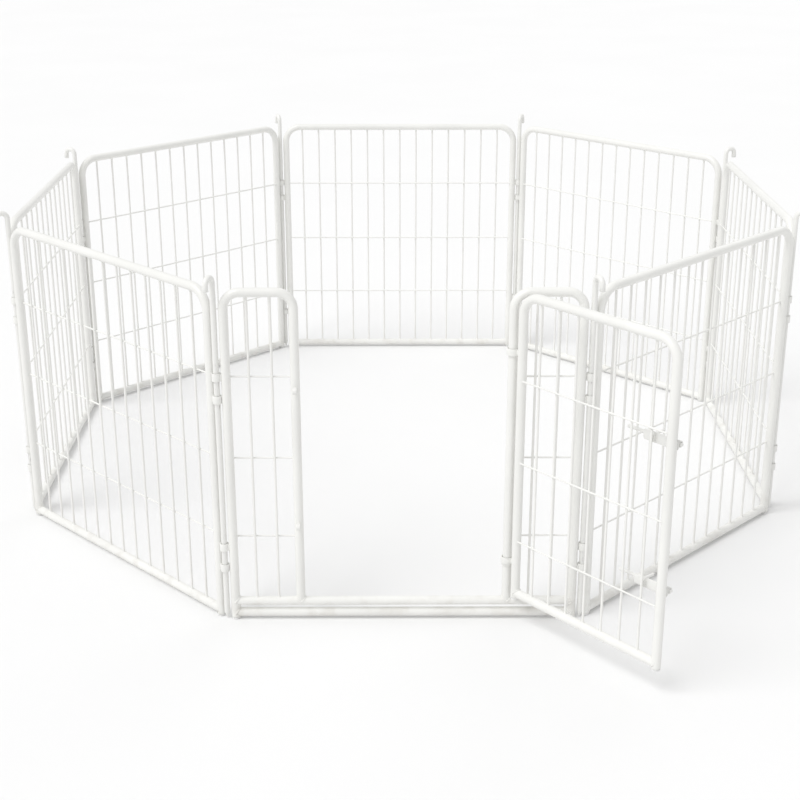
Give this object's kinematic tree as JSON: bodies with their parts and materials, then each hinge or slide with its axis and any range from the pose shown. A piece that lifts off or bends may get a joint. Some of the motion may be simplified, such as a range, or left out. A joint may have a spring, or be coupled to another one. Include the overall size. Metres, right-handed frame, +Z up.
{
  "type": "pet playpen",
  "caption": "Octagonal folding pen of square tube-framed wire panels pinned together by lift-out rods, with a hinged door, raised sill and slide-bolt latches.",
  "frame": {"origin": "middle of the footprint on the floor, measured with the door standing open", "axes": "+Z up, -Y out through the doorway, +X to the right of someone facing the door from outside"},
  "size_m": [1.5612, 1.7993, 0.634],
  "materials": {
    "frame_tube": "white powder coat on steel tube, satin",
    "infill_wire": "white powder coat on steel wire, satin",
    "joining_rod": "white powder coat on steel rod, satin",
    "latch": "white powder coat on steel plate and rod, satin",
    "foot_plug": "moulded white polyethylene, matt"
  },
  "bodies": {
    "door_panel": {"door_panel_frame": "frame_tube", "door_panel_left_wires": "infill_wire", "door_panel_right_wires": "infill_wire", "door_panel_start_foot": "foot_plug", "door_panel_end_foot": "foot_plug", "lower_latch_keeper": "latch", "upper_latch_keeper": "latch"},
    "front_right": {"front_right_frame": "frame_tube", "front_right_wires": "infill_wire", "front_right_start_foot": "foot_plug", "front_right_end_foot": "foot_plug"},
    "right": {"right_frame": "frame_tube", "right_wires": "infill_wire", "right_start_foot": "foot_plug", "right_end_foot": "foot_plug"},
    "back_right": {"back_right_frame": "frame_tube", "back_right_wires": "infill_wire", "back_right_start_foot": "foot_plug", "back_right_end_foot": "foot_plug"},
    "back": {"back_frame": "frame_tube", "back_wires": "infill_wire", "back_start_foot": "foot_plug", "back_end_foot": "foot_plug"},
    "back_left": {"back_left_frame": "frame_tube", "back_left_wires": "infill_wire", "back_left_start_foot": "foot_plug", "back_left_end_foot": "foot_plug"},
    "left": {"left_frame": "frame_tube", "left_wires": "infill_wire", "left_start_foot": "foot_plug", "left_end_foot": "foot_plug"},
    "front_left": {"front_left_frame": "frame_tube", "front_left_wires": "infill_wire", "front_left_start_foot": "foot_plug", "front_left_end_foot": "foot_plug"},
    "door_leaf": {"door_leaf_frame": "frame_tube", "door_leaf_wires": "infill_wire", "door_leaf_hinge_foot": "foot_plug", "door_leaf_latch_foot": "foot_plug", "lower_latch_bracket": "latch", "upper_latch_bracket": "latch"},
    "lower_latch_bolt": {"lower_latch_bolt": "latch"},
    "upper_latch_bolt": {"upper_latch_bolt": "latch"},
    "rod_front_left_to_door": {"rod_front_left_to_door": "joining_rod"},
    "rod_door_to_front_right": {"rod_door_to_front_right": "joining_rod"},
    "rod_front_right_to_right": {"rod_front_right_to_right": "joining_rod"},
    "rod_right_to_back_right": {"rod_right_to_back_right": "joining_rod"},
    "rod_back_right_to_back": {"rod_back_right_to_back": "joining_rod"},
    "rod_back_to_back_left": {"rod_back_to_back_left": "joining_rod"},
    "rod_back_left_to_left": {"rod_back_left_to_left": "joining_rod"},
    "rod_left_to_front_left": {"rod_left_to_front_left": "joining_rod"}
  },
  "joints": [
    {"name": "pen_fold", "type": "hinge", "parent": "door_panel", "child": "front_right", "pos_m": [0.313, -0.63658, 0], "axis": [0, 0, 1], "range_deg": [-60, 60]},
    {"name": "right_panel_hinge", "type": "hinge", "parent": "front_right", "child": "right", "pos_m": [0.75565, -0.19393, 0], "axis": [0, 0, 1], "range_deg": [-60, 60]},
    {"name": "back_right_panel_hinge", "type": "hinge", "parent": "right", "child": "back_right", "pos_m": [0.75565, 0.43207, 0], "axis": [0, 0, 1], "range_deg": [-60, 60]},
    {"name": "back_panel_hinge", "type": "hinge", "parent": "back_right", "child": "back", "pos_m": [0.313, 0.87472, 0], "axis": [0, 0, 1], "range_deg": [-60, 60]},
    {"name": "front_left_panel_hinge", "type": "hinge", "parent": "door_panel", "child": "front_left", "pos_m": [-0.313, -0.63658, 0], "axis": [0, 0, 1], "range_deg": [-60, 60]},
    {"name": "left_panel_hinge", "type": "hinge", "parent": "front_left", "child": "left", "pos_m": [-0.75565, -0.19393, 0], "axis": [0, 0, 1], "range_deg": [-60, 60]},
    {"name": "back_left_panel_hinge", "type": "hinge", "parent": "left", "child": "back_left", "pos_m": [-0.75565, 0.43207, 0], "axis": [0, 0, 1], "range_deg": [-60, 60]},
    {"name": "door_swing", "type": "hinge", "parent": "door_panel", "child": "door_leaf", "pos_m": [0.1815, -0.63658, 0], "axis": [0, 0, 1], "range_deg": [-131, 19]},
    {"name": "lower_bolt_slide", "type": "slide", "parent": "door_leaf", "child": "lower_latch_bolt", "axis": [0.6561, -0.7547, 0], "range_m": [0, 0.034]},
    {"name": "upper_bolt_slide", "type": "slide", "parent": "door_leaf", "child": "upper_latch_bolt", "axis": [0.6561, -0.7547, 0], "range_m": [0, 0.034]},
    {"name": "lift_front_left_to_door", "type": "slide", "parent": "door_panel", "child": "rod_front_left_to_door", "axis": [0, 0, 1], "range_m": [0, 0.47]},
    {"name": "lift_door_to_front_right", "type": "slide", "parent": "front_right", "child": "rod_door_to_front_right", "axis": [0, 0, 1], "range_m": [0, 0.47]},
    {"name": "lift_front_right_to_right", "type": "slide", "parent": "right", "child": "rod_front_right_to_right", "axis": [0, 0, 1], "range_m": [0, 0.47]},
    {"name": "lift_right_to_back_right", "type": "slide", "parent": "back_right", "child": "rod_right_to_back_right", "axis": [0, 0, 1], "range_m": [0, 0.47]},
    {"name": "lift_back_right_to_back", "type": "slide", "parent": "back", "child": "rod_back_right_to_back", "axis": [0, 0, 1], "range_m": [0, 0.47]},
    {"name": "lift_back_to_back_left", "type": "slide", "parent": "back_left", "child": "rod_back_to_back_left", "axis": [0, 0, 1], "range_m": [0, 0.47]},
    {"name": "lift_back_left_to_left", "type": "slide", "parent": "left", "child": "rod_back_left_to_left", "axis": [0, 0, 1], "range_m": [0, 0.47]},
    {"name": "lift_left_to_front_left", "type": "slide", "parent": "front_left", "child": "rod_left_to_front_left", "axis": [0, 0, 1], "range_m": [0, 0.47]}
  ],
  "couplings": [
    {"joint": "right_panel_hinge", "follows": "pen_fold", "ratio": -1},
    {"joint": "back_right_panel_hinge", "follows": "pen_fold", "ratio": 1},
    {"joint": "back_panel_hinge", "follows": "pen_fold", "ratio": -1},
    {"joint": "front_left_panel_hinge", "follows": "pen_fold", "ratio": 1},
    {"joint": "left_panel_hinge", "follows": "pen_fold", "ratio": -1},
    {"joint": "back_left_panel_hinge", "follows": "pen_fold", "ratio": 1}
  ]
}
